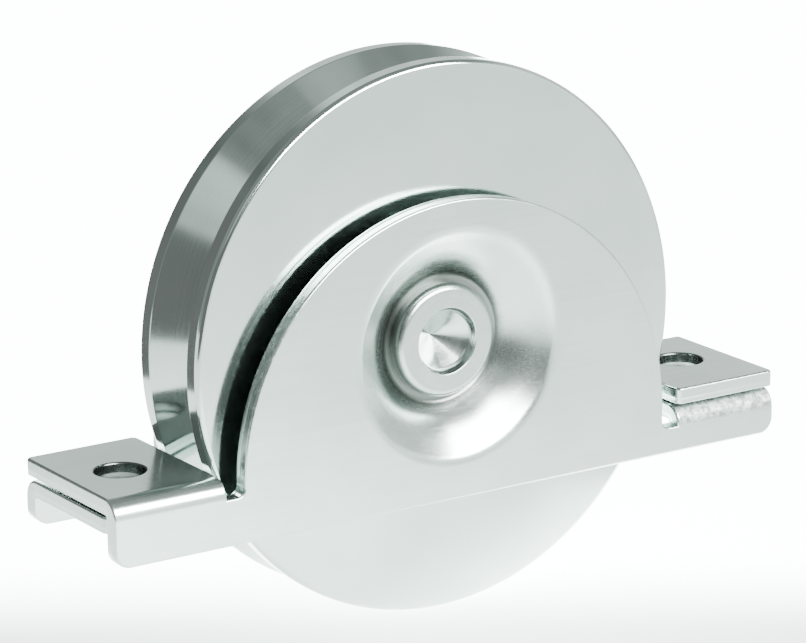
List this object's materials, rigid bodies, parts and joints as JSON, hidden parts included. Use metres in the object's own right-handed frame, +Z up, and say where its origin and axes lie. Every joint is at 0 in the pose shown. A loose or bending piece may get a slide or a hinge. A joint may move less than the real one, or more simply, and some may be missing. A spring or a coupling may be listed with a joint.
{
  "type": "sliding gate wheel",
  "caption": "V-grooved steel gate wheel on a shielded ball bearing, riveted between two pressed plates with folded bolt tabs at each end.",
  "frame": {"origin": "centre of the wheel, on its axle and midway between the two plates", "axes": "+X along the bracket from bolt hole to bolt hole, +Y along the axle towards the rear plate, +Z up towards the top of the wheel"},
  "size_m": [0.14, 0.032, 0.1],
  "materials": {
    "turned_wheel_zinc": "turned steel, bright zinc plated, near-mirror",
    "plate_zinc": "pressed sheet steel, bright zinc plated, faint grain along its length",
    "axle_zinc": "upset steel rivet, bright zinc plated",
    "bearing_steel": "ground bearing steel",
    "ball_steel": "polished bearing steel",
    "cage_steel": "pressed low-carbon steel strip",
    "shield_steel": "pressed sheet steel",
    "spring_steel": "phosphated spring wire"
  },
  "bodies": {
    "bracket": {"front_plate": "plate_zinc", "rear_plate": "plate_zinc", "axle_rivet": "axle_zinc", "bearing_inner_ring": "bearing_steel"},
    "wheel": {"wheel_body": "turned_wheel_zinc", "snap_ring": "spring_steel", "bearing_outer_ring": "bearing_steel", "shield_front": "shield_steel", "shield_rear": "shield_steel"},
    "cage": {"cage_half_front": "cage_steel", "cage_half_rear": "cage_steel", "cage_rivets": "cage_steel"},
    "ball_body_1": {"ball_1": "ball_steel"},
    "ball_body_2": {"ball_2": "ball_steel"},
    "ball_body_3": {"ball_3": "ball_steel"},
    "ball_body_4": {"ball_4": "ball_steel"},
    "ball_body_5": {"ball_5": "ball_steel"},
    "ball_body_6": {"ball_6": "ball_steel"},
    "ball_body_7": {"ball_7": "ball_steel"},
    "ball_body_8": {"ball_8": "ball_steel"}
  },
  "joints": [
    {"name": "wheel_spin", "type": "hinge", "parent": "bracket", "child": "wheel", "pos_m": [0, 0, 0], "axis": [0, 1, 0], "continuous": true},
    {"name": "cage_orbit", "type": "hinge", "parent": "bracket", "child": "cage", "pos_m": [0, 0, 0], "axis": [0, 1, 0], "continuous": true},
    {"name": "ball_1_roll", "type": "hinge", "parent": "cage", "child": "ball_body_1", "pos_m": [0.01425, 0, 0], "axis": [0, 1, 0], "continuous": true},
    {"name": "ball_2_roll", "type": "hinge", "parent": "cage", "child": "ball_body_2", "pos_m": [0.01008, 0, 0.01008], "axis": [0, 1, 0], "continuous": true},
    {"name": "ball_3_roll", "type": "hinge", "parent": "cage", "child": "ball_body_3", "pos_m": [0, 0, 0.01425], "axis": [0, 1, 0], "continuous": true},
    {"name": "ball_4_roll", "type": "hinge", "parent": "cage", "child": "ball_body_4", "pos_m": [-0.01008, 0, 0.01008], "axis": [0, 1, 0], "continuous": true},
    {"name": "ball_5_roll", "type": "hinge", "parent": "cage", "child": "ball_body_5", "pos_m": [-0.01425, 0, 0], "axis": [0, 1, 0], "continuous": true},
    {"name": "ball_6_roll", "type": "hinge", "parent": "cage", "child": "ball_body_6", "pos_m": [-0.01008, 0, -0.01008], "axis": [0, 1, 0], "continuous": true},
    {"name": "ball_7_roll", "type": "hinge", "parent": "cage", "child": "ball_body_7", "pos_m": [0, 0, -0.01425], "axis": [0, 1, 0], "continuous": true},
    {"name": "ball_8_roll", "type": "hinge", "parent": "cage", "child": "ball_body_8", "pos_m": [0.01008, 0, -0.01008], "axis": [0, 1, 0], "continuous": true}
  ],
  "couplings": [
    {"joint": "cage_orbit", "follows": "wheel_spin", "ratio": 0.6184},
    {"joint": "ball_1_roll", "follows": "wheel_spin", "ratio": 1.9927},
    {"joint": "ball_2_roll", "follows": "wheel_spin", "ratio": 1.9927},
    {"joint": "ball_3_roll", "follows": "wheel_spin", "ratio": 1.9927},
    {"joint": "ball_4_roll", "follows": "wheel_spin", "ratio": 1.9927},
    {"joint": "ball_5_roll", "follows": "wheel_spin", "ratio": 1.9927},
    {"joint": "ball_6_roll", "follows": "wheel_spin", "ratio": 1.9927},
    {"joint": "ball_7_roll", "follows": "wheel_spin", "ratio": 1.9927},
    {"joint": "ball_8_roll", "follows": "wheel_spin", "ratio": 1.9927}
  ]
}
